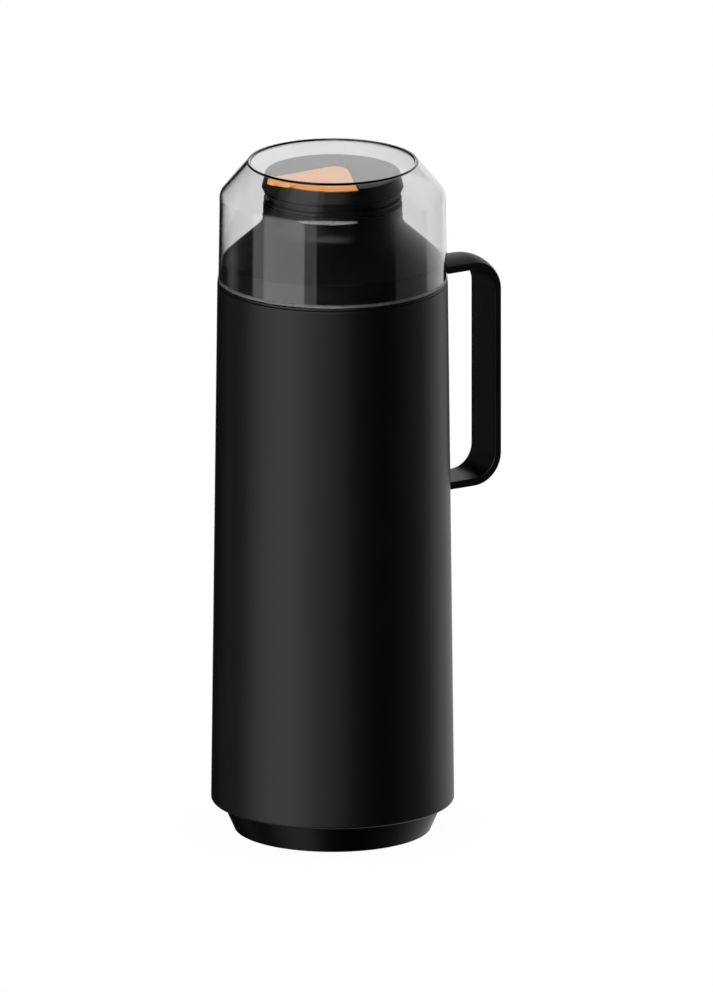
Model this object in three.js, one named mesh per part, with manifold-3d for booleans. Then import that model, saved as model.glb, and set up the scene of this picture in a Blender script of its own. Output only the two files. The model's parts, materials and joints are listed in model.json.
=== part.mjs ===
// Thermal coffee flask: tapered shell, glass vacuum liner, screw stopper with a pour lever, clear cup.
// Millimetres, +Z up. The origin is the centre of the foot's resting plane and +X points to the handle.
import * as THREE from 'three';
import { mergeVertices } from 'three/addons/utils/BufferGeometryUtils.js';
import Module from 'manifold-3d';

const wasm = await Module();
wasm.setup();

// ---------------------------------------------------------------- driving dimensions
const GAP = 0.3; // clearance between neighbouring pieces
const SEGMENTS = 40; // facets round every turned piece
const GLASS_SEGMENTS = 24;

const SHELL = { bottomZ: 14.7, topZ: 278.7, bottomR: 60, topR: 56.94, wall: 2.2, edge: 1.2 };
const FOOT = {
  ringOuterR: 48.6, ringInnerR: 43.5, topR: 54.8, shoulderZ: 15, neckR: 56.2, neckTopZ: 30, neckWall: 2.6,
  floorZ: 3, floorTopZ: 5.4, padR: 7, bossR: 33.4, bossWall: 2.4, bossTopZ: 14, ribWidth: 2.4,
};
const COLLAR = {
  flangeZ: 278.9, flangeTopZ: 280.1, flangeR: 56.75, bandR: 54.6, seamZ: 291.6, seamGroove: 0.5, skirtZ: 262,
  skirtR: 54.2, innerR: 52,
};
const NECK = { outerR: 34.3, filletR: 36.2, baseZ: 309.3, topZ: 319.2, boreR: 31.3, seatZ: 306.3 };
const LINER = { outerR: 45, innerR: 40.6, wall: 1.4, bulbZ: 46, shoulderZ: 262, neckZ: 292, rimZ: 302.9 };
const CUP = {
  rimZ: 280.5, rimR: 56.75, bottomR: 56.5, topR: 55.9, chamferZ: 323.9, flatR: 41.9, topZ: 340.6,
  wall: 1.4, plate: 0.9, shoulderR: 6.3, ringWidth: 1.2, recess: 0.8,
};
const HEAD = {
  bottomZ: 319.6, wideZ: 327.4, wideR: 35, topZ: 334.2, topR: 33.2, deck: 4.7, boreR: 29.8,
  ribR: 34, skirtR: 32.7, gasketRoofZ: 321.3,
};
const PLUG = { coreR: 29.4, wall: 2.2, bottomZ: 293, topZ: 325.5, portR: 7.5 };
const FAN = { apexX: -4, apexR: 6.8, offsetY: -0.8, halfAngle: THREE.MathUtils.degToRad(31.5), clearance: 0.5 };
const FAN_AZIMUTH = THREE.MathUtils.degToRad(214.6); // where the pour lever points, from +X
const LEVER = { plateZ: 331, topZ: 334.1, lipR: 31.5, lipZ: 333.6, reach: 42, lowestZ: 325 };
const PUSHER = { halfX: 1.5, halfY: 2.4, tipZ: 328.2 };
const TROUGH = { innerX: 15, halfWidth: 9.1, widening: 0.155, depth: 2, slope: THREE.MathUtils.degToRad(12) };
const CORNER_NICK = { azimuth: THREE.MathUtils.degToRad(-33), z: 332.5, slope: THREE.MathUtils.degToRad(6.7) };
const PIVOT = { x: 10, z: 329.9, pinR: 1.1, holeR: 1.45, barrelR: 3, barrelY: 14, bossY: 21.7 };
const PIN_BOSS = { halfX: 3.2, halfY: 2.5, bottomZ: 327, topZ: 332 };
const POUR_PORT = { outerX: 27.5, halfY: 8 };
const HANDLE = {
  topZ: 280, bottomZ: 166.1, outerX: 90.7, cornerR: 15.3, width: 22.6, edge: 3.6, crown: 2.2, insideX: 50,
  webWidth: 15.6, hookWidth: 19, hookBottomZ: 270, hookTopZ: 278.4,
};
const SCREW_Y = [-6, 6];
const SCREW_Z = HANDLE.bottomZ + HANDLE.edge / 2;
const STOPPER_THREAD = { lead: 9, turns: 1, startZ: 308.5, rootWidth: 2.4, tipWidth: 1.4 };
const FOOT_THREAD = { lead: 6, turns: 1, startZ: 19, rootWidth: 1.8, tipWidth: 1 };

// ---------------------------------------------------------------- materials
const plastic = (color, roughness = 0.45) => new THREE.MeshStandardMaterial({ color, roughness, metalness: 0 });
const metal = (color, roughness = 0.3) => new THREE.MeshStandardMaterial({ color, roughness, metalness: 1 });
const clear = (color, opacity) => new THREE.MeshStandardMaterial({
  color, roughness: 0.05, metalness: 0, transparent: true, opacity,
});
const BLACK = 0x1a1a1b;
const ORANGE = 0xe88a42;
const RUBBER = 0x3a3a3c;
const SILICONE = 0xd8d5cc;
const STEEL = 0xb9bcc0;
const SILVERED = 0xc8ccd1;

// ---------------------------------------------------------------- shape helpers
// A solid of revolution about Z. The profile runs anticlockwise in (radius, z) and closes itself
// unless it starts and ends on the axis.
function turned(profile, segments = SEGMENTS) {
  const points = profile.map(([radius, z]) => new THREE.Vector2(radius, z));
  const onAxis = profile[0][0] === 0 && profile.at(-1)[0] === 0;
  if (!onAxis) points.push(points[0].clone());
  return new THREE.LatheGeometry(points, segments).rotateX(Math.PI / 2);
}

function box([x0, x1], [y0, y1], [z0, z1]) {
  const geometry = new THREE.BoxGeometry(x1 - x0, y1 - y0, z1 - z0);
  return geometry.translate((x0 + x1) / 2, (y0 + y1) / 2, (z0 + z1) / 2);
}

function rodAlongX(radius, x0, x1, y, z, segments = 12) {
  const geometry = new THREE.CylinderGeometry(radius, radius, x1 - x0, segments).rotateZ(-Math.PI / 2);
  return geometry.translate((x0 + x1) / 2, y, z);
}

function rodAlongY(radius, y0, y1, x, z, segments = 16) {
  const geometry = new THREE.CylinderGeometry(radius, radius, y1 - y0, segments);
  return geometry.translate(x, (y0 + y1) / 2, z);
}

// Points of an elliptical arc in (radius, z), from angle a to angle b in degrees.
function arc(centreR, centreZ, semiR, semiZ, a, b, steps) {
  return Array.from({ length: steps + 1 }, (_, i) => {
    const angle = THREE.MathUtils.degToRad(a + ((b - a) * i) / steps);
    return [centreR + semiR * Math.cos(angle), centreZ + semiZ * Math.sin(angle)];
  });
}

// Three points that round the corner between its neighbours a and b in an outline.
function rounded(a, corner, b, radius) {
  const here = new THREE.Vector2(...corner);
  const toA = new THREE.Vector2(...a).sub(here).normalize();
  const toB = new THREE.Vector2(...b).sub(here).normalize();
  const half = Math.acos(toA.dot(toB)) / 2;
  const inward = toA.clone().add(toB).normalize();
  return [
    here.clone().addScaledVector(toA, radius / Math.tan(half)).toArray(),
    here.clone().addScaledVector(inward, radius / Math.sin(half) - radius).toArray(),
    here.clone().addScaledVector(toB, radius / Math.tan(half)).toArray(),
  ];
}

// A right-hand helical ridge with a trapezoid section: a box bent round the Z axis.
function helicalRidge(thread, rootR, tipR, startZ) {
  const steps = Math.round(thread.turns * SEGMENTS);
  const strip = new THREE.BoxGeometry(1, 1, 1, 1, 1, steps);
  const position = strip.attributes.position;
  const flip = tipR > rootR ? -1 : 1;
  for (let i = 0; i < position.count; i += 1) {
    const atTip = position.getX(i) > 0;
    const radius = atTip ? tipR : rootR;
    const width = atTip ? thread.tipWidth : thread.rootWidth;
    const turn = (position.getZ(i) + 0.5) * thread.turns;
    const angle = turn * 2 * Math.PI;
    const z = startZ + turn * thread.lead + flip * position.getY(i) * width;
    position.setXYZ(i, radius * Math.cos(angle), radius * Math.sin(angle), z);
  }
  return strip;
}

// ---------------------------------------------------------------- joining and cutting
function solid(source) {
  const bare = source.clone();
  bare.deleteAttribute('normal');
  bare.deleteAttribute('uv');
  const merged = mergeVertices(bare, 1e-4);
  const triangles = [];
  for (let i = 0; i < merged.index.count; i += 3) {
    const [a, b, c] = [0, 1, 2].map((k) => merged.index.getX(i + k));
    if (a !== b && b !== c && c !== a) triangles.push(a, b, c);
  }
  return new wasm.Manifold(new wasm.Mesh({
    numProp: 3,
    vertProperties: new Float32Array(merged.attributes.position.array),
    triVerts: new Uint32Array(triangles),
  }));
}

function geometryOf(manifold) {
  const mesh = manifold.getMesh();
  const geometry = new THREE.BufferGeometry();
  geometry.setAttribute('position', new THREE.BufferAttribute(new Float32Array(mesh.vertProperties), 3));
  geometry.setIndex(new THREE.BufferAttribute(new Uint32Array(mesh.triVerts), 1));
  geometry.computeVertexNormals();
  return geometry;
}

const join = (...parts) => geometryOf(parts.map(solid).reduce((all, one) => all.add(one)));
const cut = (base, ...tools) => geometryOf(tools.map(solid).reduce((all, one) => all.subtract(one), solid(base)));
const common = (a, b) => geometryOf(solid(a).intersect(solid(b)));

// ---------------------------------------------------------------- shell and foot
const shellRadius = (z) => THREE.MathUtils.mapLinear(z, SHELL.bottomZ, SHELL.topZ, SHELL.bottomR, SHELL.topR);

function outerShell() {
  const { bottomZ, topZ, bottomR, topR, wall, edge } = SHELL;
  const body = turned([
    [bottomR - wall, bottomZ],
    [bottomR - edge, bottomZ],
    [bottomR - 0.3 * edge, bottomZ + 0.3 * edge],
    [bottomR, bottomZ + edge],
    [topR, topZ - 0.4],
    [topR - 0.4, topZ],
    [topR - wall, topZ],
  ]);
  const ridge = helicalRidge(FOOT_THREAD, bottomR - wall + 0.5, bottomR - wall - 1, FOOT_THREAD.startZ);
  const slotHalf = HANDLE.webWidth / 2 + 0.4;
  const tongueSlot = box([HANDLE.insideX, topR + 3], [-slotHalf, slotHalf], [275.9, topZ + 1]);
  const screwHoles = SCREW_Y.map((y) => rodAlongX(1.5, HANDLE.insideX, 65, y, SCREW_Z));
  return cut(join(body, ridge), tongueSlot, ...screwHoles);
}

function baseCap() {
  const { ringOuterR, ringInnerR, topR, shoulderZ, neckR, neckTopZ, neckWall } = FOOT;
  const { floorZ, floorTopZ, padR, bossR, bossWall, bossTopZ, ribWidth } = FOOT;
  const shellSeatR = SHELL.bottomR - SHELL.wall - 0.4;
  const shellSeatZ = shoulderZ + 1.6;
  const cap = turned([
    [0, 0],
    [padR, 0],
    [padR + 0.4, floorZ],
    [ringInnerR - 0.6, floorZ],
    [ringInnerR, 0],
    [ringOuterR - 1.2, 0],
    [ringOuterR - 0.3, 0.3],
    [ringOuterR + 0.3, 1.4],
    [topR, shoulderZ - 0.6],
    [topR, shoulderZ],
    [shellSeatR, shoulderZ],
    [shellSeatR, shellSeatZ],
    [neckR, shellSeatZ],
    [neckR, neckTopZ],
    [neckR - neckWall, neckTopZ],
    [neckR - neckWall, shellSeatZ + 0.4],
    [46, floorTopZ],
    [bossR, floorTopZ],
    [bossR, bossTopZ],
    [bossR - bossWall, bossTopZ],
    [bossR - bossWall, floorTopZ],
    [0, floorTopZ],
  ]);
  const ridge = helicalRidge(FOOT_THREAD, neckR - 0.5, neckR + 1.1, FOOT_THREAD.startZ + 2.4);
  const ribReach = ringInnerR - 0.6;
  const gripRibs = [0, 60, 120].map((degrees) => (
    box([-ribReach, ribReach], [-ribWidth / 2, ribWidth / 2], [1, floorZ + 0.3])
      .rotateZ(THREE.MathUtils.degToRad(degrees))
  ));
  return join(cap, ridge, ...gripRibs);
}

// A rubber ring between the foot and the liner. Its hole clears the liner's glass nib.
function baseCushion() {
  const outerR = 30.6;
  const holeR = 9;
  const bulbUnderside = (r) => LINER.bulbZ - 26 * Math.sqrt(1 - (r / LINER.outerR) ** 2) - 0.4;
  const top = [outerR - 0.6, 25, 19, 13, holeR].map((r) => [r, bulbUnderside(r)]);
  return turned([[holeR, 5.7], [outerR, 5.7], [outerR, bulbUnderside(outerR) - 1], ...top]);
}

// ---------------------------------------------------------------- glass vacuum liner
function linerOuterGlass() {
  const { outerR, wall, bulbZ, shoulderZ, neckZ } = LINER;
  const neckR = 35.6;
  const rim = LINER.rimZ - 1.9;
  const innerR = outerR - wall;
  const shoulder = (r, nr) => arc(nr, shoulderZ, r - nr, neckZ - shoulderZ - 2, 0, 80, 4);
  return turned([
    [0, 12.5],
    [2, 13.4],
    [3, 19.4],
    ...arc(0, bulbZ, outerR, 26, -81, 0, 8),
    ...shoulder(outerR, neckR - 1.6),
    [neckR, neckZ],
    [neckR, rim],
    [neckR - wall, rim],
    [neckR - wall, neckZ],
    ...shoulder(innerR, neckR - 1.6 - wall).reverse(),
    ...arc(0, bulbZ, innerR, 26 - wall, 0, -90, 8).slice(0, -1),
    [0, bulbZ - 26 + wall],
  ], GLASS_SEGMENTS);
}

// The inner glass hangs inside the outer one, and its rolled lip covers the evacuated gap.
function linerInnerGlass() {
  const { innerR, wall, bulbZ, shoulderZ, neckZ, rimZ } = LINER;
  const neckR = 32.9;
  const boreR = neckR - wall;
  const lipR = 35.6;
  const shoulder = (r, nr) => arc(nr, shoulderZ, r - nr, neckZ - shoulderZ - 3, 0, 80, 4);
  return turned([
    ...arc(0, bulbZ, innerR, 21.6, -90, 0, 7).map(([r, z], i) => (i === 0 ? [0, z] : [r, z])),
    ...shoulder(innerR, neckR - 1.2),
    [neckR, neckZ],
    [neckR, rimZ - 1.6],
    [lipR, rimZ - 1.6],
    [lipR + 0.2, rimZ - 0.6],
    [lipR - 0.8, rimZ],
    [boreR + 0.4, rimZ],
    [boreR, rimZ - 0.5],
    [boreR, neckZ],
    ...shoulder(innerR - wall, boreR - 1.2).reverse(),
    ...arc(0, bulbZ, innerR - wall, 21.6 - wall, 0, -90, 7).slice(0, -1),
    [0, bulbZ - 21.6 + wall],
  ], GLASS_SEGMENTS);
}

const linerSpacer = () => rodAlongX(4, 41.1, 42.8, 0, 70, 16);

// ---------------------------------------------------------------- collar and neck
const coneAngle = Math.atan2(NECK.baseZ - COLLAR.seamZ, COLLAR.bandR - NECK.outerR);

// Radius of the cone's inner face at height z, for a wall of the shell's thickness.
function coneInnerRadius(z) {
  const seamR = COLLAR.bandR - SHELL.wall * Math.sin(coneAngle);
  const seamZ = COLLAR.seamZ - SHELL.wall * Math.cos(coneAngle);
  return seamR - (z - seamZ) / Math.tan(coneAngle);
}

function shoulderCollar() {
  const { flangeZ, flangeTopZ, flangeR, bandR, seamZ, seamGroove, skirtZ, skirtR, innerR } = COLLAR;
  const innerBandR = bandR - SHELL.wall;
  const innerSeamZ = seamZ - 1;
  const body = turned([
    [innerR, skirtZ],
    [skirtR, skirtZ],
    [skirtR, flangeZ],
    [flangeR, flangeZ],
    [flangeR, flangeTopZ],
    [bandR, flangeTopZ],
    [bandR, seamZ - seamGroove],
    [bandR - seamGroove, seamZ - seamGroove],
    [bandR - seamGroove, seamZ],
    [NECK.filletR, NECK.baseZ - 1.4],
    [NECK.outerR + 0.6, NECK.baseZ - 0.6],
    [NECK.outerR, NECK.baseZ + 0.6],
    [NECK.outerR, NECK.topZ - 0.3],
    [NECK.outerR - 0.3, NECK.topZ],
    [NECK.boreR, NECK.topZ],
    [NECK.boreR, NECK.seatZ],
    [coneInnerRadius(NECK.seatZ), NECK.seatZ],
    [coneInnerRadius(innerSeamZ), innerSeamZ],
    [innerBandR, innerSeamZ - 0.8],
    [innerBandR, flangeTopZ],
    [innerR, flangeZ],
  ]);
  const ridge = helicalRidge(STOPPER_THREAD, NECK.boreR + 0.4, NECK.boreR - 1.4, STOPPER_THREAD.startZ);
  const pocketHalf = HANDLE.hookWidth / 2 + 0.8;
  const pocketZ = [HANDLE.hookBottomZ - 0.5, flangeZ + 0.4];
  const tonguePocket = box([HANDLE.insideX, 56], [-pocketHalf, pocketHalf], pocketZ);
  return cut(join(body, ridge), tonguePocket);
}

const neckGasket = () => turned([[31.8, 303.2], [36.2, 303.2], [36.2, 304], [34, 306], [31.8, 306]]);

// ---------------------------------------------------------------- handle
function handlePath() {
  const half = HANDLE.edge / 2;
  const bendR = HANDLE.cornerR - half;
  const top = HANDLE.topZ - half;
  const bottom = HANDLE.bottomZ + half;
  const gripX = HANDLE.outerX - half;
  const bend = bendR * (1 - Math.SQRT1_2);
  const at = (x, z) => new THREE.Vector3(x, 0, z);
  const path = new THREE.CurvePath();
  path.add(new THREE.LineCurve3(at(HANDLE.insideX, top), at(gripX - bendR, top)));
  path.add(quarter(at(gripX - bendR, top), at(gripX - bend, top - bend), at(gripX, top - bendR)));
  path.add(new THREE.LineCurve3(at(gripX, top - bendR), at(gripX, bottom + bendR)));
  path.add(quarter(at(gripX, bottom + bendR), at(gripX - bend, bottom + bend), at(gripX - bendR, bottom)));
  path.add(new THREE.LineCurve3(at(gripX - bendR, bottom), at(HANDLE.insideX, bottom)));
  return path;
}

// A quarter circle from a to c through its middle point m, as a cubic Bezier curve.
function quarter(a, m, c) {
  const k = 0.5523;
  const corner = Math.abs(m.x - a.x) > Math.abs(m.z - a.z)
    ? new THREE.Vector3(c.x, 0, a.z)
    : new THREE.Vector3(a.x, 0, c.z);
  return new THREE.CubicBezierCurve3(a, a.clone().lerp(corner, k), c.clone().lerp(corner, k), c);
}

// A flat strap bent round the grip, its outer face crowned, with a hooked tongue at the shell's rim.
function handle() {
  const half = HANDLE.width / 2;
  const edge = HANDLE.edge / 2;
  const section = new THREE.Shape([
    new THREE.Vector2(edge, half - 0.5),
    new THREE.Vector2(edge - 0.5, half),
    ...[1, 0.75, 0.4, 0, -0.4, -0.75, -1].map((s) => (
      new THREE.Vector2(-edge - HANDLE.crown * (1 - s * s), s * half)
    )),
    new THREE.Vector2(edge - 0.5, -half),
    new THREE.Vector2(edge, 0.5 - half),
  ]);
  const strap = new THREE.ExtrudeGeometry(section, { extrudePath: handlePath(), steps: 44, bevelEnabled: false });
  const shellSpace = turned([
    [0, 100],
    [shellRadius(100) + GAP, 100],
    [shellRadius(300) + GAP, 300],
    [0, 300],
  ]);
  const { insideX, webWidth, hookWidth, hookBottomZ, hookTopZ } = HANDLE;
  const holes = SCREW_Y.map((y) => rodAlongX(1.4, insideX, 71, y, SCREW_Z));
  const web = box([53.2, 58.5], [-webWidth / 2, webWidth / 2], [hookTopZ - 2, hookTopZ]);
  const hook = box([51.6, 53.4], [-hookWidth / 2, hookWidth / 2], [hookBottomZ, hookTopZ]);
  return join(cut(strap, shellSpace, ...holes), web, hook);
}

const handleScrew = (y) => join(
  rodAlongX(2.4, 53.1, 54.8, y, SCREW_Z, 16),
  rodAlongX(1.1, 54.5, 68, y, SCREW_Z),
);

// ---------------------------------------------------------------- clear cup
// The cup stands upside down over the stopper: a slightly tapered wall, a wide chamfer and a flat base
// recessed inside a low ring.
function clearCup() {
  const { rimZ, rimR, bottomR, topR, chamferZ, flatR, topZ } = CUP;
  const { wall, plate, shoulderR, ringWidth, recess } = CUP;
  const innerEdge = [flatR - 0.6, topZ - recess - plate];
  const innerShoulder = [topR - wall, chamferZ - 0.65];
  const innerRim = [bottomR - wall, rimZ];
  const outerRim = [bottomR, rimZ + 1.3];
  return turned([
    [0, topZ - recess - plate],
    innerEdge,
    ...rounded(innerEdge, innerShoulder, innerRim, shoulderR - wall),
    innerRim,
    [rimR - 0.3, rimZ],
    [rimR, rimZ + 0.3],
    [rimR, rimZ + 0.9],
    outerRim,
    ...rounded(outerRim, [topR, chamferZ], [flatR, topZ], shoulderR),
    [flatR + 0.2, topZ - 0.3],
    [flatR - 0.3, topZ],
    [flatR - ringWidth, topZ],
    [flatR - ringWidth, topZ - recess],
    [0, topZ - recess],
  ]);
}

// ---------------------------------------------------------------- stopper (local +X points along the lever)
// Outline of the pour lever seen from above: a round apex and two straight sides out to the rim.
function fanOutline(apexR, apexX, reach) {
  const shape = new THREE.Shape();
  const sideX = (r) => apexX - r * Math.sin(FAN.halfAngle);
  const sideY = (r) => r * Math.cos(FAN.halfAngle);
  const endY = (apexR + (reach - apexX) * Math.sin(FAN.halfAngle)) / Math.cos(FAN.halfAngle);
  shape.moveTo(reach, -endY);
  shape.lineTo(reach, endY);
  shape.lineTo(sideX(apexR), sideY(apexR));
  shape.absarc(apexX, 0, apexR, Math.PI / 2 + FAN.halfAngle, -Math.PI / 2 - FAN.halfAngle + 2 * Math.PI, false);
  return shape;
}

function fanPrism(margin, z0, z1) {
  const outline = fanOutline(FAN.apexR + margin, FAN.apexX, LEVER.reach);
  const prism = new THREE.ExtrudeGeometry(outline, { depth: z1 - z0, bevelEnabled: false, curveSegments: 12 });
  return prism.translate(0, FAN.offsetY, z0);
}

// Everything under the lever's thin rim lip: a ring whose top steps down in a slanted nick at one corner.
function underLip(radius, drop) {
  const { azimuth, z, slope } = CORNER_NICK;
  const lipZ = LEVER.lipZ - drop;
  const { reach, lowestZ } = LEVER;
  const ring = turned([[radius, lowestZ], [reach, lowestZ], [reach, lipZ], [radius, lipZ]]);
  const nick = box([20, reach + 3], [-11, 11], [0, 6]).rotateX(slope).translate(0, 0, z - drop);
  return cut(ring, nick.rotateZ(azimuth));
}

// The head's side above its ribbed skirt, shared by the head and the lever's front edge.
const headSide = [
  [HEAD.wideR, HEAD.wideZ],
  [HEAD.topR + 0.5, HEAD.topZ - 0.5],
  [HEAD.topR, HEAD.topZ],
];

function stopperHead() {
  const { ribR, skirtR, gasketRoofZ } = HEAD;
  const groove = (floorR, z0, z1) => [[ribR, z0 - 0.1], [floorR, z0 + 0.1], [floorR, z1 - 0.1], [ribR, z1 + 0.1]];
  const body = turned([
    [0, HEAD.topZ - HEAD.deck],
    [HEAD.boreR, HEAD.topZ - HEAD.deck],
    [HEAD.boreR, gasketRoofZ],
    [skirtR, gasketRoofZ],
    [skirtR, HEAD.bottomZ],
    [ribR, HEAD.bottomZ],
    ...groove(33.3, 320.3, 321.3),
    ...groove(31.9, 322.4, 325.2),
    [ribR, 326],
    [33.3, 326.2],
    [33.3, HEAD.wideZ - 0.3],
    ...headSide,
    [0, HEAD.topZ],
  ]);
  const above = HEAD.topZ + 1;
  const below = HEAD.topZ - HEAD.deck - 0.5;
  const seat = cut(fanPrism(FAN.clearance, LEVER.plateZ - GAP, above), underLip(LEVER.lipR + GAP, 0.2));
  // The deck is open under the lever's rear half, which sinks, and open to the coffee ahead of the hinge.
  const behindHinge = box([-20, PIVOT.x + PIVOT.barrelR + 0.5], [-25, 25], [below, above]);
  const rearWell = common(fanPrism(FAN.clearance, below, above), behindHinge);
  const pourPort = box([PIVOT.x, POUR_PORT.outerX], [-POUR_PORT.halfY, POUR_PORT.halfY], [below, above]);
  const { halfX, halfY, bottomZ, topZ } = PIN_BOSS;
  const pinBosses = [-PIVOT.bossY, PIVOT.bossY].map((y) => (
    box([PIVOT.x - halfX, PIVOT.x + halfX], [y - halfY, y + halfY], [bottomZ, topZ])
  ));
  const pinHole = rodAlongY(PIVOT.holeR, -PIVOT.bossY - 1.7, PIVOT.bossY + 1.7, PIVOT.x, PIVOT.z);
  return cut(join(body, ...pinBosses), seat, rearWell, pourPort, pinHole);
}

const leverPin = () => rodAlongY(PIVOT.pinR, -PIVOT.bossY - 1.1, PIVOT.bossY + 1.1, PIVOT.x, PIVOT.z, 12);

// The pouring trough: a shallow chute in the lever that widens and sinks towards the rim, where its
// half width and depth are given.
function trough() {
  const { innerX, halfWidth, widening, depth, slope } = TROUGH;
  const halfAt = (x) => halfWidth + widening * (x - HEAD.topR);
  const plan = new THREE.Shape([
    new THREE.Vector2(innerX, halfAt(innerX)),
    new THREE.Vector2(innerX, -halfAt(innerX)),
    new THREE.Vector2(LEVER.reach, -halfAt(LEVER.reach)),
    new THREE.Vector2(LEVER.reach, halfAt(LEVER.reach)),
  ]);
  const chute = new THREE.ExtrudeGeometry(plan, { depth: 8, bevelEnabled: false });
  return chute.translate(-HEAD.topR, 0, 0).rotateY(slope).translate(HEAD.topR, 0, LEVER.topZ - depth);
}

// The pour lever: a fan-shaped plate flush with the head, hinged under its middle.
function pourLever() {
  const { plateZ, topZ, lipR } = LEVER;
  const envelope = turned([[0, LEVER.lowestZ], [HEAD.wideR + 0.5, LEVER.lowestZ], ...headSide, [0, HEAD.topZ]]);
  const plate = cut(fanPrism(0, plateZ, topZ), underLip(lipR, 0), trough());
  const barrel = rodAlongY(PIVOT.barrelR, -PIVOT.barrelY, PIVOT.barrelY, PIVOT.x, PIVOT.z);
  const { halfX, halfY, tipZ } = PUSHER;
  const pusher = box([-halfX, halfX], [-halfY, halfY], [tipZ, plateZ + 0.2]);
  const bore = rodAlongY(PIVOT.holeR, -PIVOT.bossY, PIVOT.bossY, PIVOT.x, PIVOT.z);
  return cut(common(join(plate, barrel, pusher), envelope), bore);
}

// The plug: a threaded tube with a ported floor and a three-armed guide for the valve stem.
function stopperPlug() {
  const { coreR, wall, bottomZ, topZ, portR } = PLUG;
  const innerR = coreR - wall;
  const tube = turned([
    [portR, bottomZ],
    [coreR - 1, bottomZ],
    [coreR, bottomZ + 1],
    [coreR, topZ],
    [innerR, topZ],
    [innerR, bottomZ + 2.4],
    [portR, bottomZ + 2.4],
  ]);
  const ridge = helicalRidge(STOPPER_THREAD, coreR - 0.4, coreR + 1.4, STOPPER_THREAD.startZ - 2.6);
  const guide = turned([[2.45, 315], [6.4, 315], [6.4, 317.6], [2.45, 317.6]], 24);
  const arms = [0, 120, 240].map((degrees) => (
    box([5.6, innerR + 0.6], [-1, 1], [315, 317.4]).rotateZ(THREE.MathUtils.degToRad(degrees))
  ));
  return join(tube, ridge.rotateZ(-FAN_AZIMUTH), guide, ...arms);
}

const stopperGasket = () => turned([[29.9, 319.5], [32.3, 319.5], [32.3, 321], [29.9, 321]]);

// ---------------------------------------------------------------- valve
const valveStem = () => turned([
  [0, 289.4],
  [10.5, 289.4],
  [10.5, 291.2],
  [7.2, 291.2],
  [7.2, 292.3],
  [2, 293.4],
  [2, 325.8],
  [1.6, 326.2],
  [0, 326.2],
], 24);

const valveSeal = () => turned([[7.5, 291.5], [10.3, 291.5], [10.3, 292.2], [9.4, 292.7], [7.5, 292.7]], 24);

const springCap = () => turned([
  [0, 326.6],
  [2.4, 326.6],
  [2.4, 324.6],
  [6.4, 324.6],
  [6.4, 326.2],
  [3.4, 327.9],
  [0, 327.9],
], 24);

class Helix extends THREE.Curve {
  constructor(radius, z0, z1, turns) {
    super();
    Object.assign(this, { radius, z0, z1, turns });
  }

  getPoint(t, target = new THREE.Vector3()) {
    const angle = t * this.turns * 2 * Math.PI;
    const z = THREE.MathUtils.lerp(this.z0, this.z1, t);
    return target.set(this.radius * Math.cos(angle), this.radius * Math.sin(angle), z);
  }
}

function valveSpring() {
  const wireR = 0.5;
  const wire = new THREE.Shape().absarc(0, 0, wireR, 0, 2 * Math.PI);
  const coil = new Helix(4.6, 317.9 + wireR, 324.3 - wireR, 4);
  return new THREE.ExtrudeGeometry(wire, { extrudePath: coil, steps: 64, curveSegments: 3, bevelEnabled: false });
}

// ---------------------------------------------------------------- assembly
const flask = new THREE.Group();
const stopper = new THREE.Group();
stopper.rotation.z = FAN_AZIMUTH;
flask.add(stopper);

function place(group, name, geometry, material, turnDegrees = 0) {
  const mesh = new THREE.Mesh(geometry, material);
  mesh.name = name;
  mesh.rotation.z = THREE.MathUtils.degToRad(turnDegrees);
  group.add(mesh);
}

place(flask, 'outer_shell', outerShell(), plastic(BLACK, 0.42));
place(flask, 'base_cap', baseCap(), plastic(BLACK, 0.4));
place(flask, 'base_cushion', baseCushion(), plastic(RUBBER, 0.8));
place(flask, 'liner_outer_glass', linerOuterGlass(), metal(SILVERED, 0.08));
place(flask, 'liner_inner_glass', linerInnerGlass(), metal(SILVERED, 0.05));
[30, 150, 270].forEach((degrees, i) => {
  place(flask, `liner_spacer_${i + 1}`, linerSpacer(), plastic(SILICONE, 0.7), degrees);
});
place(flask, 'neck_gasket', neckGasket(), plastic(SILICONE, 0.6));
place(flask, 'shoulder_collar', shoulderCollar(), plastic(BLACK, 0.35));
place(flask, 'handle', handle(), plastic(BLACK, 0.35));
SCREW_Y.forEach((y, i) => place(flask, `handle_screw_${i + 1}`, handleScrew(y), metal(STEEL)));
place(flask, 'clear_cup', clearCup(), clear(0xe4e8ea, 0.28));
place(flask, 'stopper_gasket', stopperGasket(), plastic(SILICONE, 0.6));
place(stopper, 'stopper_head', stopperHead(), plastic(BLACK, 0.38));
place(stopper, 'stopper_plug', stopperPlug(), plastic(BLACK, 0.4));
place(stopper, 'lever_pin', leverPin(), metal(STEEL));
place(stopper, 'pour_lever', pourLever(), plastic(ORANGE, 0.4));
place(stopper, 'valve_stem', valveStem(), plastic(0xe6e4df, 0.5));
place(stopper, 'valve_seal', valveSeal(), plastic(SILICONE, 0.6));
place(stopper, 'spring_cap', springCap(), plastic(0xe6e4df, 0.5));
place(stopper, 'valve_spring', valveSpring(), metal(STEEL));

export default flask;
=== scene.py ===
"""Looks for the insulated coffee flask: fine turned shells, clear cup, pour lever and studio.

Lengths are millimetres in the row frame and become metres only where a mesh is made.
"""

import json
import math

import bmesh
import bpy
from mathutils import Matrix, Vector


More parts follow.
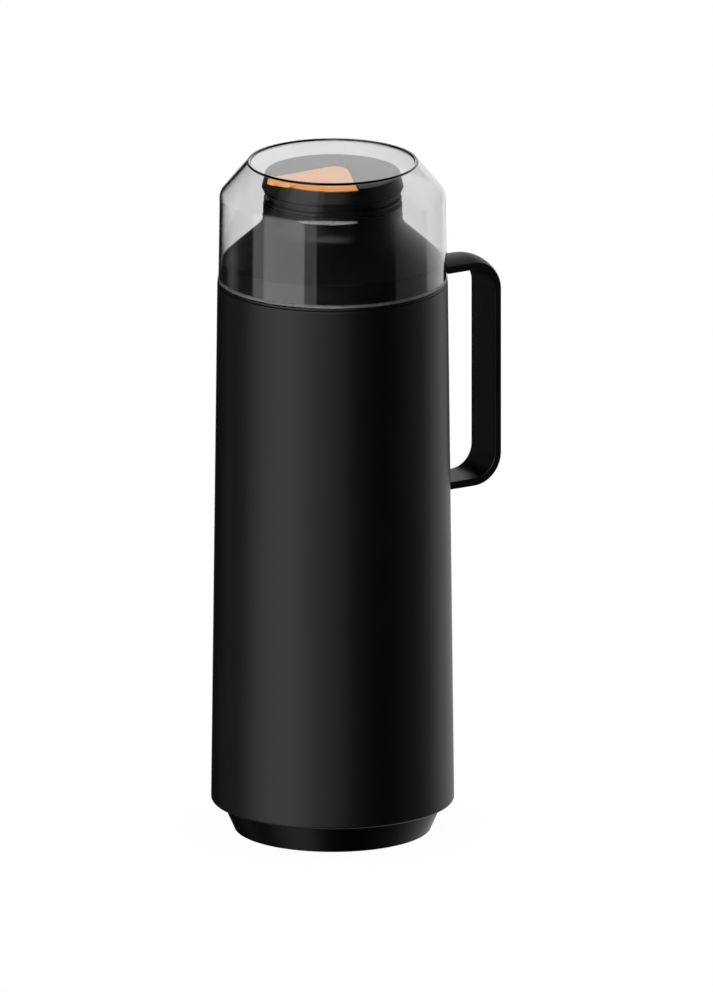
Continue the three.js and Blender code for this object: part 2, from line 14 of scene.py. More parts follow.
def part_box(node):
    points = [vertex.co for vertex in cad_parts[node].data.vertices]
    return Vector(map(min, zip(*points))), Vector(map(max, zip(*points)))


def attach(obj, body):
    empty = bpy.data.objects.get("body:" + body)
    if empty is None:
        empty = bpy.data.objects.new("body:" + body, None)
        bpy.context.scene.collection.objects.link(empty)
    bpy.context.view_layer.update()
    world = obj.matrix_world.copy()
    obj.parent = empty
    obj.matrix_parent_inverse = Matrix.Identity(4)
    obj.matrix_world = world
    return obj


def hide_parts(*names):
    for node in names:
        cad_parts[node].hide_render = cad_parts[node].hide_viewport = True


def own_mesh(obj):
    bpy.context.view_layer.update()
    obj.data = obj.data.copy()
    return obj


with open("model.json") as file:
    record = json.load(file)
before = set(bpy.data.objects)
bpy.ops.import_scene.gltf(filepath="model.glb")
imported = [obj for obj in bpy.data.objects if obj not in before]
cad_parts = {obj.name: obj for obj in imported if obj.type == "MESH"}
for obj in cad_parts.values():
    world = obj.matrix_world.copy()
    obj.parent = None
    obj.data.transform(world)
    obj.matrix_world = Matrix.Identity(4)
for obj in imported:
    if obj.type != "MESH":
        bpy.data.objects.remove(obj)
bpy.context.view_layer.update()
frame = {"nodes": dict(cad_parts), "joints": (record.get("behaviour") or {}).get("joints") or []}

MM = 0.001
ROUND = 168  # facets round a large turned piece
SMALL_ROUND = 64
ON_AXIS = 1e-6  # a smaller radius than this is a point on the axis
SAME = 0.01  # radii this close are the same wall

# ------------------------------------------------------------------ sizes read from the frame


def corners(node):
    """Lowest and highest corner of a CAD node, in millimetres."""
    low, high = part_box(node)
    return low / MM, high / MM


def radius_at(node, z, largest=True):
    """Largest or smallest radius among a CAD node's vertices at height z, in millimetres."""
    near = [v.co for v in frame["nodes"][node].data.vertices if abs(v.co.z / MM - z) < 0.06]
    radii = [math.hypot(p.x, p.y) / MM for p in near]
    return max(radii) if largest else min(radii)


def joint(name):
    """One of the frame's joints."""
    return next(j for j in frame["joints"] if j["name"] == name)


shell_low, shell_high = corners("outer_shell")
_, foot_high = corners("base_cap")
collar_low, collar_high = corners("shoulder_collar")
cup_low, cup_high = corners("clear_cup")
head_low, head_high = corners("stopper_head")
plug_low, plug_high = corners("stopper_plug")
_, lever_high = corners("pour_lever")
handle_low, handle_high = corners("handle")
_, inner_high = corners("liner_inner_glass")
outer_low, outer_high = corners("liner_outer_glass")

HEIGHT = cup_high.z
WALL = 2.2
SHELL_R = shell_high.y
SHELL_TOP_R = radius_at("outer_shell", shell_high.z - 0.4)

PIVOT = Vector(joint("lever_press")["pos_m"]) / MM
FAN_ANGLE = math.atan2(PIVOT.y, PIVOT.x)
PIVOT_X = math.hypot(PIVOT.x, PIVOT.y)

# ------------------------------------------------------------------ mesh helpers


def rounded(profile, steps=5):
    """A (radius, z) outline whose corners are given as (r, z) or (r, z, fillet); fillets become arcs.

    The outline is a loop, so every corner has two neighbours. Ends on the axis carry no fillet.
    """
    points = []
    count = len(profile)
    for i, corner in enumerate(profile):
        here = Vector(corner[:2])
        fillet = corner[2] if len(corner) > 2 else 0
        if not fillet:
            points.append(here)
            continue
        to_last = (Vector(profile[i - 1][:2]) - here).normalized()
        to_next = (Vector(profile[(i + 1) % count][:2]) - here).normalized()
        half = to_last.angle(to_next) / 2
        centre = here + (to_last + to_next).normalized() * fillet / math.sin(half)
        start = here + to_last * fillet / math.tan(half) - centre
        turn = start.angle_signed(here + to_next * fillet / math.tan(half) - centre)
        for step in range(steps + 1):
            points.append(centre + Matrix.Rotation(-turn * step / steps, 2) @ start)
    return [(p.x, p.y) for p in points]


def arc(centre_r, centre_z, semi_r, semi_z, start, end, steps):
    """Points of an elliptical arc in (radius, z), angles in degrees."""
    angles = [math.radians(start + (end - start) * i / steps) for i in range(steps + 1)]
    return [(centre_r + semi_r * math.cos(a), centre_z + semi_z * math.sin(a)) for a in angles]


def make_object(name, vertices, faces, sharp_degrees=35, weighted=True):
    """A smooth-shaded object from points in millimetres."""
    mesh = bpy.data.meshes.new(name)
    mesh.from_pydata([Vector(v) * MM for v in vertices], [], faces)
    mesh.validate()
    thing = bpy.data.objects.new(name, mesh)
    bpy.context.scene.collection.objects.link(thing)
    smooth(thing, sharp_degrees, weighted)
    return thing


def smooth(thing, sharp_degrees=35, weighted=True):
    """Smooth shading with hard edges above an angle, and normals that keep large faces flat."""
    thing.data.shade_smooth()
    thing.data.set_sharp_from_angle(angle=math.radians(sharp_degrees))
    if weighted:
        normals = thing.modifiers.new("weighted_normals", "WEIGHTED_NORMAL")
        normals.keep_sharp = True


def turned(name, profile, segments=ROUND, relief=None, **shading):
    """A solid of revolution about Z. The profile closes itself unless both its ends are on the axis.

    relief(radius, z, angle) may return another radius, for a thread.
    """
    on_axis = profile[0][0] < ON_AXIS and profile[-1][0] < ON_AXIS
    vertices, rings = [], []
    for r, z in profile:
        if r < ON_AXIS:
            rings.append([len(vertices)] * segments)
            vertices.append((0, 0, z))
            continue
        first = len(vertices)
        for k in range(segments):
            angle = 2 * math.pi * k / segments
            radius = relief(r, z, angle) if relief else r
            vertices.append((radius * math.cos(angle), radius * math.sin(angle), z))
        rings.append(list(range(first, first + segments)))
    faces = []
    pairs = list(zip(rings, rings[1:])) + ([] if on_axis else [(rings[-1], rings[0])])
    for low, high in pairs:
        for k in range(segments):
            n = (k + 1) % segments
            face = [low[k], low[n], high[n], high[k]]
            face = list(dict.fromkeys(face))
            if len(face) > 2:
                faces.append(face)
    return make_object(name, vertices, faces, **shading)


def lofted(name, rings, **shading):
    """A solid through a row of closed rings of points, each with the same point count."""
    count = len(rings[0])
    vertices = [point for ring in rings for point in ring]
    faces = [list(range(count))[::-1]]
    for level in range(len(rings) - 1):
        base = level * count
        for k in range(count):
            n = (k + 1) % count
            faces.append([base + k, base + n, base + count + n, base + count + k])
    last = (len(rings) - 1) * count
    faces.append(list(range(last, last + count)))
    return make_object(name, vertices, faces, **shading)


def stacked(name, outlines):
    """A solid through a stack of flat outlines, each (z, [(x, y), ...])."""
    return lofted(name, [[(x, y, z) for x, y in outline] for z, outline in outlines])


def rod(name, radius, start, end, segments=32):
    """A round rod between two points."""
    start, end = Vector(start), Vector(end)
    turn = (end - start).to_track_quat("Z", "Y")
    length = (end - start).length
    angles = [2 * math.pi * k / segments for k in range(segments)]
    ring = [(radius * math.cos(a), radius * math.sin(a)) for a in angles]
    thing = stacked(name, [(0, ring), (length, ring)])
    thing.data.transform(Matrix.Translation(start * MM) @ turn.to_matrix().to_4x4())
    return thing


def boolean(target, tool, operation):
    """Applies an exact boolean to target and removes the tool."""
    change = target.modifiers.new("cut", "BOOLEAN")
    change.operation = operation
    change.solver = "EXACT"
    change.object = tool
    bpy.context.view_layer.update()
    graph = bpy.context.evaluated_depsgraph_get()
    weighted = [m for m in target.modifiers if m.type == "WEIGHTED_NORMAL"]
    for modifier in weighted:
        target.modifiers.remove(modifier)
    bpy.context.view_layer.update()
    mesh = bpy.data.meshes.new_from_object(target.evaluated_get(graph))
    target.modifiers.clear()
    target.data = mesh
    bpy.data.objects.remove(tool)
    smooth(target)


def fix_normals(thing):
    """Makes a closed mesh's faces point outwards."""
    work = bmesh.new()
    work.from_mesh(thing.data)
    bmesh.ops.recalc_face_normals(work, faces=work.faces)
    work.to_mesh(thing.data)
    work.free()


def turn_to_fan(thing):
    """Turns a mesh made with +X along the pour lever into the row frame."""
    thing.data.transform(Matrix.Rotation(FAN_ANGLE, 4, "Z"))


# ------------------------------------------------------------------ material helpers


def feed(tree, node, inputs):
    """Fills a node's inputs with values or other nodes' sockets."""
    for key, value in inputs.items():
        if isinstance(value, bpy.types.NodeSocket):
            tree.links.new(value, node.inputs[key])
        else:
            node.inputs[key].default_value = value


def add(tree, kind, inputs=None, **settings):
    """Adds a shader node, sets its properties and fills its inputs."""
    node = tree.nodes.new(kind)
    for key, value in settings.items():
        setattr(node, key, value)
    feed(tree, node, inputs or {})
    return node


def calculate(tree, operation, *values):
    """One step of arithmetic on numbers or sockets."""
    return add(tree, "ShaderNodeMath", dict(enumerate(values)), operation=operation).outputs[0]


def ramp(tree, value, start, end, low=0.0, high=1.0):
    """Goes from low to high while value goes from start to end."""
    inputs = {"Value": value, "From Min": start, "From Max": end, "To Min": low, "To Max": high}
    return add(tree, "ShaderNodeMapRange", inputs).outputs["Result"]


def spread(tree, pattern, low, high):
    """Maps the middle of a noise pattern's range onto low..high."""
    return ramp(tree, pattern, 0.3, 0.7, low, high)


def noise(tree, size_mm, detail=2.0, stretch=None):
    """A noise pattern with features of about size_mm, in object space."""
    position = add(tree, "ShaderNodeTexCoord").outputs["Object"]
    if stretch:
        position = add(tree, "ShaderNodeMapping", {"Vector": position, "Scale": stretch}).outputs["Vector"]
    inputs = {"Vector": position, "Scale": 1 / (size_mm * MM), "Detail": detail}
    return add(tree, "ShaderNodeTexNoise", inputs).outputs["Fac"]


def shaded(tree, colour, shade):
    """A colour scaled by a pattern."""
    return add(tree, "ShaderNodeVectorMath", {0: colour, 3: shade}, operation="SCALE").outputs["Vector"]


def bumped(tree, pattern, depth_mm):
    """A normal that makes a pattern stand out of the surface by a depth."""
    inputs = {"Height": pattern, "Strength": 1.0, "Distance": depth_mm * MM}
    return add(tree, "ShaderNodeBump", inputs).outputs["Normal"]


def new_material(name):
    """An empty node material: the material, its tree and its main shader."""
    material = bpy.data.materials.new(name)
    material.use_nodes = True
    tree = material.node_tree
    return material, tree, tree.nodes["Principled BSDF"]


def adjust(material, inputs):
    """Sets more of a finished material's main shader."""
    tree = material.node_tree
    feed(tree, tree.nodes["Principled BSDF"], inputs)


def moulded_plastic(name, colour, roughness, grain_mm=0.45, grain_depth_mm=0.006, variation=0.12, shine=0.5):
    """Injection-moulded plastic: spark-eroded grain, soft flow clouds and faint rubbed streaks."""
    material, tree, bsdf = new_material(name)
    cloud_rough, streak_rough = 0.015, 0.012
    clouds = noise(tree, 28, detail=3)
    rubbed = noise(tree, 5, detail=4, stretch=(1, 1, 0.12))
    rough_clouds = spread(tree, clouds, roughness - cloud_rough, roughness + cloud_rough)
    streaks = spread(tree, rubbed, -streak_rough, streak_rough)
    feed(tree, bsdf, {
        "Base Color": shaded(tree, colour, spread(tree, clouds, 1 - variation, 1 + variation)),
        "Roughness": calculate(tree, "ADD", rough_clouds, streaks),
        "Normal": bumped(tree, noise(tree, grain_mm, detail=1.5), grain_depth_mm),
        "Specular IOR Level": shine,
    })
    return material


def clear_plastic(name, rim_z):
    """Polished clear styrene with a ground rim: a faint grey body that darkens long paths, soft waviness."""
    material, tree, bsdf = new_material(name)
    ground_top, polish_start, rim_rough = (rim_z + 1.3) * MM, (rim_z + 1.4) * MM, 0.5
    position = add(tree, "ShaderNodeTexCoord").outputs["Object"]
    height = add(tree, "ShaderNodeSeparateXYZ", {"Vector": position}).outputs["Z"]
    feed(tree, bsdf, {
        "Base Color": (0.985, 0.988, 0.99, 1),
        "Transmission Weight": 1,
        "IOR": 1.55,
        "Roughness": ramp(tree, height, ground_top, polish_start, rim_rough, 0.0),
        "Normal": bumped(tree, noise(tree, 22, detail=1), 0.01),
    })
    tint = add(tree, "ShaderNodeVolumeAbsorption", {"Color": (0, 0, 0, 1), "Density": 18})
    feed(tree, tree.nodes["Material Output"], {"Volume": tint.outputs[0]})
    return material


def orange_plastic(name):
    """Semi-gloss orange moulding, slightly translucent."""
    orange = (0.86, 0.36, 0.095)
    grain = dict(grain_mm=0.5, grain_depth_mm=0.003)
    material = moulded_plastic(name, orange, 0.34, variation=0.05, shine=0.2, **grain)
    adjust(material, {
        "Subsurface Weight": 0.25,
        "Subsurface Radius": (1.0, 0.45, 0.15),
        "Subsurface Scale": 2.0 * MM,
    })
    return material


def silvered_glass(name):
    """Silvered blown glass: a mirror with slow ripples and faint tarnish."""
    material, tree, bsdf = new_material(name)
    tarnish = noise(tree, 14, detail=4)
    feed(tree, bsdf, {
        "Base Color": shaded(tree, (0.96, 0.98, 1.0), spread(tree, tarnish, 0.72, 0.9)),
        "Metallic": 1,
        "Roughness": spread(tree, tarnish, 0.04, 0.12),
        "Normal": bumped(tree, noise(tree, 18), 0.05),
        "Coat Weight": 1,
    })
    return material


def drawn_steel(name):
    """Stainless wire and rod with fine drawing lines."""
    material, tree, bsdf = new_material(name)
    lines = noise(tree, 0.3, detail=3, stretch=(1, 1, 8))
    feed(tree, bsdf, {
        "Base Color": (0.6, 0.61, 0.62, 1),
        "Metallic": 1,
        "Roughness": spread(tree, lines, 0.22, 0.38),
    })
    return material


def soft_seal(name, colour, roughness=0.6):
    """Silicone or rubber: matte, with a fine powdery sheen."""
    material = moulded_plastic(name, colour, roughness, grain_mm=0.3, grain_depth_mm=0.008, variation=0.08)
    adjust(material, {"Sheen Weight": 0.15})
    return material


BLACK = (0.0004, 0.0004, 0.00042)
SHELL_BLACK = moulded_plastic("black_shell", BLACK, 0.38, shine=0.3)
COLLAR_BLACK = moulded_plastic("black_collar", BLACK, 0.33, grain_mm=0.4, grain_depth_mm=0.001, shine=0.33)
FOOT_BLACK = moulded_plastic("black_foot", BLACK, 0.3, shine=0.11)
HANDLE_BLACK = moulded_plastic("black_handle", BLACK, 0.4, shine=0.35)
STOPPER_BLACK = moulded_plastic("black_stopper", BLACK, 0.42, grain_mm=0.35, shine=0.4)
CLEAR = clear_plastic("clear_cup", cup_low.z)
ORANGE = orange_plastic("orange_lever")
SILVERED = silvered_glass("silvered_glass")
STEEL = drawn_steel("steel")
RUBBER = soft_seal("rubber", (0.03, 0.03, 0.031), 0.7)
SILICONE = soft_seal("silicone", (0.62, 0.6, 0.54), 0.5)
WHITE_VALVE = moulded_plastic("white_valve", (0.7, 0.69, 0.65), 0.35, variation=0.04)


def stand_in(piece, body, material, *nodes):
    """Gives a piece its material and body, and hides the CAD nodes it stands for."""
    piece.data.materials.clear()
    piece.data.materials.append(material)
    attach(piece, body)
    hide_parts(*nodes)
    return piece


# ------------------------------------------------------------------ threads


END_TAPER = 24  # a thread reaches full height 1/24 of a turn from its ends


def helix_height(angle, z, start_z, lead, turns, root_width, tip_width):
    """0..1 height of a right-hand thread's trapezoid ridge at a point, tapering to nothing at both ends."""
    best = 0.0
    for lap in range(math.ceil(turns) + 1):
        turn = angle / (2 * math.pi) + lap
        if turn > turns:
            continue
        distance = abs(z - start_z - lead * turn)
        flank = (root_width / 2 - distance) / ((root_width - tip_width) / 2)
        run_out = min(1, END_TAPER * turn, END_TAPER * (turns - turn))
        best = max(best, min(1, flank, run_out))
    return best


def threaded(base_r, height, low, high, **thread):
    """A relief function: adds a ridge of that height where radius is base_r between low and high."""
    def relief(r, z, angle):
        if abs(r - base_r) > SAME or not low < z < high:
            return r
        return r + height * helix_height(angle, z, **thread)
    return relief


def laddered(profile, radius, step=0.3):
    """Adds points to a profile's straight walls at that radius, close enough to carry a thread."""
    points = []
    for (r, z), (next_r, next_z) in zip(profile, profile[1:] + profile[:1]):
        points.append((r, z))
        if abs(r - radius) < SAME and abs(next_r - radius) < SAME:
            count = max(1, round(abs(next_z - z) / step))
            points += [(radius, z + (next_z - z) * i / count) for i in range(1, count)]
    return points


STOPPER_THREAD = dict(lead=9, turns=1, root_width=2.4, tip_width=1.4)
STOPPER_THREAD_Z = 308.5
FOOT_THREAD = dict(lead=6, turns=1, root_width=1.8, tip_width=1.0)
FOOT_THREAD_Z = 19.0

# ------------------------------------------------------------------ shell and foot


def outer_shell():
    bottom, top = shell_low.z, shell_high.z
    bore = SHELL_R - WALL
    thread_end, taper_start = 31, 32
    bore_above_thread = bore - (SHELL_R - SHELL_TOP_R) * (taper_start - bottom) / (top - bottom)
    profile = rounded([
        (bore, bottom, 0.3),
        (SHELL_R, bottom, 1.3),
        (SHELL_TOP_R, top, 0.45),
        (SHELL_TOP_R - WALL, top, 0.3),
        (bore_above_thread, taper_start),
        (bore, thread_end),
    ])
    profile = laddered(profile, bore)
    relief = threaded(bore, -1, FOOT_THREAD_Z - 3, FOOT_THREAD_Z + 9, start_z=FOOT_THREAD_Z, **FOOT_THREAD)
    shell = turned("outer_shell_fine", profile, relief=relief)
    stand_in(shell, "flask", SHELL_BLACK, "outer_shell")


def base_cap():
    ring_inner = 43.5
    ring_outer = radius_at("base_cap", 0.3)
    side_r = 54.8
    shoulder = 15
    flange_r = foot_high.y
    flange_top = shoulder + 1.6
    neck_r = flange_r - 1.2
    neck_inner = neck_r - 2.6
    recess, floor = 3, 5.4
    pad_r = 7
    boss_r, boss_wall, boss_top = 33.4, 2.4, 14
    profile = rounded([
        (0, 0),
        (pad_r, 0, 0.3),
        (pad_r + 0.4, recess, 0.3),
        (ring_inner - 0.6, recess, 0.4),
        (ring_inner, 0, 0.5),
        (ring_outer + 0.1, 0, 0.8),
        (side_r, shoulder - 0.5, 0.4),
        (side_r, shoulder, 0.1),
        (flange_r, shoulder, 0.3),
        (flange_r, flange_top, 0.3),
        (neck_r, flange_top),
        (neck_r, foot_high.z, 0.5),
        (neck_inner, foot_high.z, 0.5),
        (neck_inner, 17, 2),
        (46, floor, 2),
        (boss_r, floor, 0.3),
        (boss_r, boss_top, 0.5),
        (boss_r - boss_wall, boss_top, 0.5),
        (boss_r - boss_wall, floor, 0.3),
        (0, floor),
    ])
    profile = laddered(profile, neck_r)
    low, high = FOOT_THREAD_Z - 1, FOOT_THREAD_Z + 10
    relief = threaded(neck_r, 1.1, low, high, start_z=FOOT_THREAD_Z + 2.4, **FOOT_THREAD)
    foot = turned("base_cap_fine", profile, relief=relief)
    stand_in(foot, "flask", FOOT_BLACK, "base_cap")


# ------------------------------------------------------------------ collar and neck


def shoulder_collar():
    skirt_low = collar_low.z
    neck_top = collar_high.z
    flange_r = collar_high.y
    flange_z, flange_top = 278.9, 280.1
    band_r = radius_at("shoulder_collar", 291.1)
    seam_z, seam_groove, seam_width = 291.6, 0.5, 0.5
    skirt_r, skirt_inner = 54.2, 52
    neck_r = radius_at("shoulder_collar", neck_top - 0.3)
    neck_z, neck_fillet = 309.2, 9
    bore = radius_at("shoulder_collar", neck_top, largest=False)
    seat_z = 306.3
    profile = rounded([
        (bore, seat_z, 0.3),
        (radius_at("shoulder_collar", seat_z), seat_z, 0.3),
        (skirt_inner + 0.7, 290.6, 1),
        (skirt_inner + 0.4, flange_top, 0.5),
        (skirt_inner, flange_z, 0.5),
        (skirt_inner, skirt_low, 0.4),
        (skirt_r, skirt_low, 0.4),
        (skirt_r, flange_z, 0.1),
        (flange_r, flange_z, 0.25),
        (flange_r, flange_top, 0.35),
        (band_r, flange_top, 0.15),
        (band_r, seam_z - seam_width, 0.1),
        (band_r - seam_groove, seam_z - 0.6 * seam_width),
        (band_r - 0.05, seam_z, 0.35),
        (neck_r, neck_z, neck_fillet),
        (neck_r, neck_top, 0.35),
        (bore, neck_top, 0.35),
    ], steps=6)
    profile = laddered(profile, bore)
    relief = threaded(bore, -1.4, seat_z, neck_top - 0.4, start_z=STOPPER_THREAD_Z, **STOPPER_THREAD)
    collar = turned("shoulder_collar_fine", profile, relief=relief)
    stand_in(collar, "flask", COLLAR_BLACK, "shoulder_collar")


# ------------------------------------------------------------------ handle


HANDLE_EDGE = 1.8  # half the strap's thickness at its edges
HANDLE_CROWN = 2.2  # how far its middle stands out past that
HANDLE_BEND = 13.5
HANDLE_ARM = (56, 60, 66, 72)  # stations along each arm, from the shell outwards


def shell_radius(z):
    """The tapered shell's outer radius."""
    share = (z - shell_low.z) / (shell_high.z - shell_low.z)
    return SHELL_R + share * (SHELL_TOP_R - SHELL_R)


def handle_section(steps=24):
    """Outline of the strap's section as (across, outward) pairs: flat inside, crowned outside."""
    half = handle_high.y
    shares = [-1 + 2 * k / steps for k in range(steps + 1)]
    outer = [(s * half, HANDLE_EDGE + HANDLE_CROWN * (1 - s * s)) for s in shares]
    inner = [(half, -HANDLE_EDGE), (-half, -HANDLE_EDGE)]
    outline = [(*outer[0], 0.45)] + outer[1:-1] + [(*outer[-1], 0.45)]
    outline += [(*p, 0.6) for p in inner]
    return rounded(outline[::-1], steps=4)[::-1]


def handle_bend(centre_x, centre_z, start, end, steps=14):
    """A turn of the strap's centre line about a point, angles in degrees."""
    stations = []
    for k in range(steps + 1):
        a = math.radians(start + (end - start) * k / steps)
        out_x, out_z = math.cos(a), math.sin(a)
        stations.append((centre_x + HANDLE_BEND * out_x, centre_z + HANDLE_BEND * out_z, out_x, out_z))
    return stations


def handle_path(grip_steps=12):
    """Centre line of the strap from the top arm to the lower one: (x, z, outward x, outward z)."""
    reach = HANDLE_EDGE + HANDLE_CROWN
    grip_x = handle_high.x - reach
    top = handle_high.z - reach
    bottom = handle_low.z + reach
    grip_top, grip_bottom = top - HANDLE_BEND, bottom + HANDLE_BEND
    path = [(x, top, 0, 1) for x in HANDLE_ARM]
    path += handle_bend(grip_x - HANDLE_BEND, grip_top, 90, 0)
    for k in range(1, grip_steps):
        path.append((grip_x, grip_top + (grip_bottom - grip_top) * k / grip_steps, 1, 0))
    path += handle_bend(grip_x - HANDLE_BEND, grip_bottom, 0, -90)
    path += [(x, bottom, 0, -1) for x in HANDLE_ARM[::-1]]
    return path


def handle():
    section = handle_section()
    path = handle_path()
    rings = []
    for i, (x, z, out_x, out_z) in enumerate(path):
        ring = []
        for across, outward in section:
            px, pz = x + out_x * outward, z + out_z * outward
            if i in (0, len(path) - 1):
                touch = shell_radius(min(pz, shell_high.z)) + 0.05
                px = math.sqrt(touch ** 2 - across ** 2)
            ring.append((px, across, pz))
        rings.append(ring)
    strap = lofted("handle_fine", rings)
    stand_in(strap, "flask", HANDLE_BLACK, "handle")


# ------------------------------------------------------------------ clear cup


def clear_cup():
    wall, plate = 1.4, 0.9
    rim_z, top_z = cup_low.z, cup_high.z
    rim_r, bead = cup_high.y, 0.4
    bottom_r = radius_at("clear_cup", rim_z + 1.3)
    top_r = bottom_r - 0.6
    chamfer_z = 323.9
    flat_r, corner_r = 41.9, 6.3
    ring_width, ring_flank = 1.2, 0.2
    base_z = top_z - 0.8
    profile = rounded([
        (0, base_z - plate),
        (flat_r - 0.6, base_z - plate, 0.3),
        (top_r - wall, chamfer_z - 0.65, corner_r - wall),
        (bottom_r - wall, rim_z, 0.3),
        (rim_r, rim_z, 0.15),
        (rim_r, rim_z + bead, 0.3),
        (bottom_r, rim_z + 1.35, 0.3),
        (top_r, chamfer_z, corner_r),
        (flat_r, top_z, 0.35),
        (flat_r - ring_width, top_z, 0.25),
        (flat_r - ring_width - ring_flank, base_z, 0.3),
        (0, base_z),
    ], steps=8)
    cup = turned("clear_cup_fine", profile, segments=192)
    stand_in(cup, "cup", CLEAR, "clear_cup")


# ------------------------------------------------------------------ stopper head and pour lever

FAN_HALF_ANGLE = math.radians(31.5)
FAN_APEX_R = 6.8
FAN_APEX_X = -4.0
FAN_OFFSET_Y = -0.8
HEAD_WIDE_Z, HEAD_WIDE_R = 327.4, 35
HEAD_TOP_R = 33.3
PLATE_Z = 331.0
LIP_R = 31.5
LIP_Z = 333.6
NICK_AZIMUTH = math.radians(-33)
NICK_SLOPE = math.radians(6.7)
NICK_Z = 332.5
BELOW_LIP_Z, PAST_HEAD = 325, 45  # a height under the lever, and a radius outside the head


def head_side_radius(z):
    """The head's outer radius above its widest line."""
    share = (z - HEAD_WIDE_Z) / (head_high.z - HEAD_WIDE_Z)
    return HEAD_WIDE_R + share * (HEAD_TOP_R - HEAD_WIDE_R)


def fan_side(side, apex_r, front_r, steps):
    """One straight side of the fan, from its apex arc out to the front circle; side is 1 or -1."""
    sin, cos = math.sin(FAN_HALF_ANGLE), math.cos(FAN_HALF_ANGLE)
    start = Vector((FAN_APEX_X - apex_r * sin, FAN_OFFSET_Y + side * apex_r * cos))
    along = Vector((cos, side * sin))
    b = start.dot(along)
    reach = -b + math.sqrt(b * b + front_r ** 2 - start.length_squared)
    return [start + along * reach * k / steps for k in range(steps + 1)]


def fan_outline(inset, rim_radius, side_steps=10, front_steps=24, apex_steps=20):
    """The pour lever's outline from above, pulled in by inset, its front on a circle about the axis."""
    apex_r = FAN_APEX_R - inset
    front_r = rim_radius - max(inset, 0)
    left, right = (fan_side(side, apex_r, front_r, side_steps) for side in (1, -1))
    first, last = (math.atan2(edge[-1].y, edge[-1].x) for edge in (left, right))
    front = [
        Vector((math.cos(a), math.sin(a))) * front_r
        for a in [first + (last - first) * k / front_steps for k in range(1, front_steps)]
    ]
    apex = []
    for k in range(1, apex_steps):
        a = -(math.pi / 2 + FAN_HALF_ANGLE) - (math.pi - 2 * FAN_HALF_ANGLE) * k / apex_steps
        apex.append(Vector((FAN_APEX_X + apex_r * math.cos(a), FAN_OFFSET_Y + apex_r * math.sin(a))))
    loop = left + front + right[::-1] + apex
    return [(p.x, p.y) for p in loop[::-1]]


def rectangle(near, far, half):
    """A rectangle's corners: from near to far along X, and half its width either side."""
    return [(near, -half), (far, -half), (far, half), (near, half)]


def under_lip(radius, drop):
    """Everything under the lever's thin rim lip: a ring whose top steps down in a slanted corner nick."""
    low = LIP_Z - drop
    ring = turned("under_lip", [
        (radius, BELOW_LIP_Z), (PAST_HEAD, BELOW_LIP_Z), (PAST_HEAD, low), (radius, low)])
    nick = stacked("nick", [(z, rectangle(20, 50, 11)) for z in (0, 6)])
    lift = Matrix.Translation((0, 0, (NICK_Z - drop) * MM))
    nick.data.transform(Matrix.Rotation(NICK_AZIMUTH, 4, "Z") @ lift @ Matrix.Rotation(NICK_SLOPE, 4, "X"))
    boolean(ring, nick, "DIFFERENCE")
    return ring


def trough(top):
    """The pouring trough: a shallow chute that widens and sinks towards the rim."""
    half, widening = 9.1, 0.155
    depth, slope = 2.0, math.radians(12)
    rim = head_side_radius(top)
    plan = [(x, side * (half + widening * (x - rim))) for x, side in rectangle(15, PAST_HEAD, 1)]
    chute = stacked("trough", [(0, plan), (8, plan)])
    hinge = Matrix.Translation((rim * MM, 0, 0))
    drop = Matrix.Translation((0, 0, (top - depth) * MM))
    chute.data.transform(drop @ hinge @ Matrix.Rotation(slope, 4, "Y") @ hinge.inverted())
    return chute


def stopper_head():
    top, bottom = head_high.z, head_low.z
    deck = top - 4.7
    bore, skirt = 29.8, 32.7
    rib, shallow, deep = 34.0, 33.2, 31.9
    profile = rounded([
        (0, deck),
        (bore, deck, 0.6),
        (bore, 321.3, 0.2),
        (skirt, 321.3, 0.2),
        (skirt, bottom, 0.2),
        (rib, bottom, 0.25),
        (rib, 320.3, 0.12),
        (shallow, 320.5, 0.15),
        (shallow, 321.2, 0.15),
        (rib, 321.4, 0.25),
        (rib, 322.2, 0.25),
        (deep, 322.4, 0.3),
        (deep, 325.0, 0.3),
        (rib, 325.2, 0.25),
        (rib, 326.0, 0.25),
        (shallow, 326.2, 0.2),
        (shallow, HEAD_WIDE_Z - 0.25, 0.15),
        (HEAD_WIDE_R, HEAD_WIDE_Z, 0.3),
        (HEAD_TOP_R, top, 0.55),
        (0, top),
    ])
    head = turned("stopper_head_fine", profile)
    clearance, flare = 0.35, 0.3
    levels = ((PLATE_Z - 0.3, 0), (top - flare, 0), (top + 0.05, flare), (top + 3, flare))
    seat = stacked("seat", [(z, fan_outline(-clearance - extra, 60)) for z, extra in levels])
    boolean(seat, under_lip(LIP_R + 0.3, 0.2), "DIFFERENCE")
    rear = stacked("rear_well", [(z, fan_outline(-clearance, 13.5)) for z in (deck - 1, PLATE_Z)])
    port = stacked("pour_port", [(z, rectangle(10, 27.5, 8)) for z in (deck - 1, PLATE_Z)])
    for opening in (seat, rear, port):
        turn_to_fan(opening)
        boolean(head, opening, "DIFFERENCE")
    stand_in(head, "stopper", STOPPER_BLACK, "stopper_head")


def pin_rod(name, radius, half):
    """A rod along the lever's pin axis."""
    return rod(name, radius, (PIVOT_X, -half, PIVOT.z), (PIVOT_X, half, PIVOT.z))


